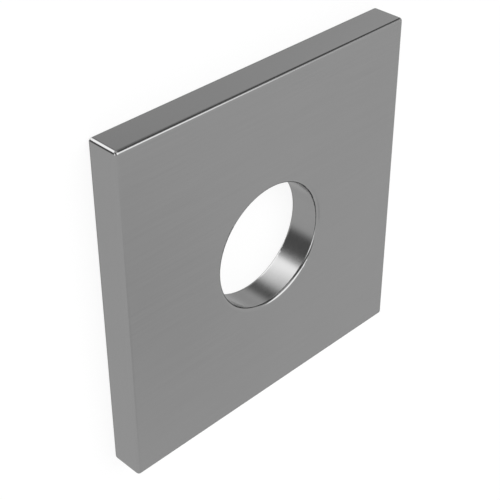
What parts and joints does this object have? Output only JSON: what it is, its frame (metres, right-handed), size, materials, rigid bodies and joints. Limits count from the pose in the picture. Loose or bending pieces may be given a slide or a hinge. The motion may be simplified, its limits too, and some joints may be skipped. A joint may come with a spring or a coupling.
{
  "type": "square plate washer",
  "caption": "Flat square steel plate washer with a round bolt hole in the middle and slightly rounded edges, which spreads a nut's load over timber or a channel.",
  "frame": {"origin": "on the bore's axis at the back face, which the washer lies on", "axes": "+Z along the bore's axis, out of the front face; X and Y square to the four sides"},
  "size_m": [0.03, 0.03, 0.003],
  "materials": {
    "plain_steel": "plain grey steel, satin faces with slightly burnished rounded edges"
  },
  "bodies": {
    "root": {"square_washer": "plain_steel"}
  },
  "joints": []
}
